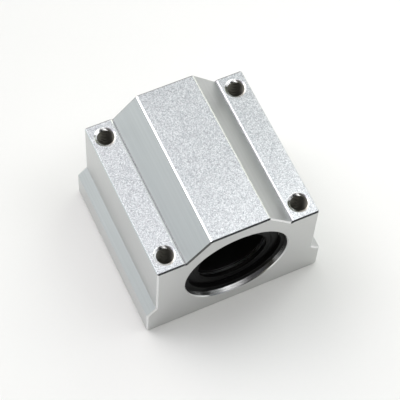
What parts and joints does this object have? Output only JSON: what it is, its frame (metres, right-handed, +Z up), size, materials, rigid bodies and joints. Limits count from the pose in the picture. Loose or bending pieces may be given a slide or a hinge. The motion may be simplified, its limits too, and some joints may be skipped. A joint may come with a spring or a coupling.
{
  "type": "linear bearing block",
  "caption": "Aluminium block with tapped shoulder holes that carries a sealed recirculating-ball bearing for a 30 mm round shaft.",
  "frame": {"origin": "on the flat base, under the middle of the block", "axes": "+Z up from the base, X across the block's width, +Y along the shaft bore from the front end to the rear end"},
  "size_m": [0.078, 0.072, 0.0595],
  "materials": {
    "aluminium": "satin",
    "spring_steel": "phosphated black, slightly oily",
    "bearing_steel": "ground",
    "cage_resin": "moulded",
    "stop_ring_steel": "stamped",
    "seal_rubber": "moulded",
    "ball_steel": "polished"
  },
  "bodies": {
    "root": {"housing": "aluminium", "front_retaining_ring": "spring_steel", "rear_retaining_ring": "spring_steel", "bearing_sleeve": "bearing_steel", "ball_cage": "cage_resin", "front_stop_ring": "stop_ring_steel", "rear_stop_ring": "stop_ring_steel", "front_seal": "seal_rubber", "rear_seal": "seal_rubber", "loaded_balls_1": "ball_steel", "return_balls_1": "ball_steel", "loaded_balls_2": "ball_steel", "return_balls_2": "ball_steel", "loaded_balls_3": "ball_steel", "return_balls_3": "ball_steel", "loaded_balls_4": "ball_steel", "return_balls_4": "ball_steel", "loaded_balls_5": "ball_steel", "return_balls_5": "ball_steel", "loaded_balls_6": "ball_steel", "return_balls_6": "ball_steel"}
  },
  "joints": []
}
